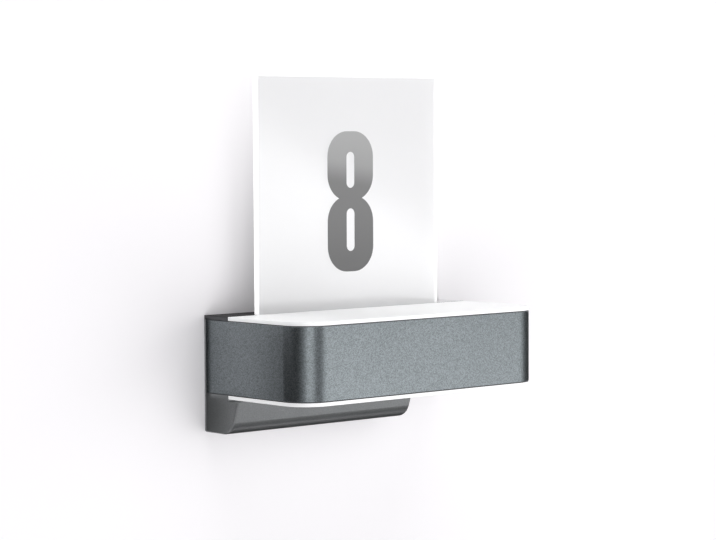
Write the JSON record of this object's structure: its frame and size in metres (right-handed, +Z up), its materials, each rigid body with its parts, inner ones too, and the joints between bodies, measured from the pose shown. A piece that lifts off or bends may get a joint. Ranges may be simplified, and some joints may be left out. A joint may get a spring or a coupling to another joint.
{
  "type": "house number light",
  "caption": "Wall light with an anthracite band between opal plates, a lit upright panel with a numeral, and a lower sensor base.",
  "frame": {"origin": "on the wall plane, midway between the two wall screw holes, at the band's mid height", "axes": "+X right along the wall seen from the front, +Y into the wall, +Z up"},
  "size_m": [0.23, 0.106, 0.2506],
  "materials": {
    "band_anthracite": "fine satin powder coat, anthracite",
    "casing_anthracite": "matte moulded plastic, anthracite",
    "opal_acrylic": "opal acrylic, satin gloss",
    "satin_acrylic": "satin translucent acrylic with bright edges",
    "number_film": "self-adhesive grey film",
    "seal_rubber": "black silicone",
    "screw_steel": "stainless steel",
    "chassis_aluminium": "bare die casting",
    "board_green": "solder resist",
    "board_white": "matte white",
    "led_phosphor": "yellow phosphor",
    "part_black": "black plastic",
    "part_grey": "light grey plastic",
    "can_metal": "tinned sheet",
    "contact_brass": "bare brass",
    "wire_brown": "wire insulation",
    "ribbon_grey": "ribbon insulation",
    "knob_plastic": "matte plastic",
    "lens_clear": "frosted clear plastic"
  },
  "bodies": {
    "wall_housing": {"wall_plate": "casing_anthracite", "wall_gasket": "seal_rubber", "cable_grommet": "seal_rubber", "terminal_block": "part_grey", "terminal_screws": "contact_brass", "driver_board": "board_green", "driver_transformer": "part_black", "driver_capacitors": "part_black", "driver_screws": "screw_steel", "driver_terminal": "part_grey", "mains_leads": "wire_brown", "socket_leads": "wire_brown", "sensor_lead": "ribbon_grey", "rear_housing": "casing_anthracite", "housing_screws": "screw_steel", "edge_light_board": "board_white", "edge_leds": "led_phosphor", "base_cover": "casing_anthracite", "base_screws": "screw_steel", "sensor_board": "board_green", "sensor_module": "can_metal", "sensor_screws": "screw_steel", "adjuster_pots": "part_grey", "dusk_lens": "lens_clear", "supply_socket": "part_black", "lock_screw": "screw_steel", "lock_nut": "screw_steel"},
    "lamp_head": {"front_band": "band_anthracite", "band_nuts": "screw_steel", "chassis": "chassis_aluminium", "top_diffuser": "opal_acrylic", "bottom_diffuser": "opal_acrylic", "top_gasket": "seal_rubber", "bottom_gasket": "seal_rubber", "led_board_up": "board_white", "led_board_down": "board_white", "leds_up": "led_phosphor", "leds_down": "led_phosphor", "led_board_screws": "screw_steel", "reflector_up": "board_white", "reflector_down": "board_white", "supply_plug": "part_black", "led_leads": "wire_brown", "board_links": "contact_brass"},
    "panel": {"number_panel": "satin_acrylic", "house_number": "number_film"},
    "time_adjuster_body": {"time_adjuster": "knob_plastic"},
    "dusk_adjuster_body": {"dusk_adjuster": "knob_plastic"},
    "range_adjuster_body": {"range_adjuster": "knob_plastic"}
  },
  "joints": [
    {"name": "head_pull", "type": "slide", "parent": "wall_housing", "child": "lamp_head", "axis": [0, -1, 0], "range_m": [0, 0.06]},
    {"name": "panel_lift", "type": "slide", "parent": "wall_housing", "child": "panel", "axis": [0, 0, 1], "range_m": [0, 0.03]},
    {"name": "time_adjuster_turn", "type": "hinge", "parent": "wall_housing", "child": "time_adjuster_body", "pos_m": [-0.014, -0.012, -0.0536], "axis": [0, 0, -1], "range_deg": [-135, 135]},
    {"name": "dusk_adjuster_turn", "type": "hinge", "parent": "wall_housing", "child": "dusk_adjuster_body", "pos_m": [0.003, -0.012, -0.0536], "axis": [0, 0, -1], "range_deg": [-135, 135]},
    {"name": "range_adjuster_turn", "type": "hinge", "parent": "wall_housing", "child": "range_adjuster_body", "pos_m": [0.02, -0.012, -0.0536], "axis": [0, 0, -1], "range_deg": [-135, 135]}
  ]
}
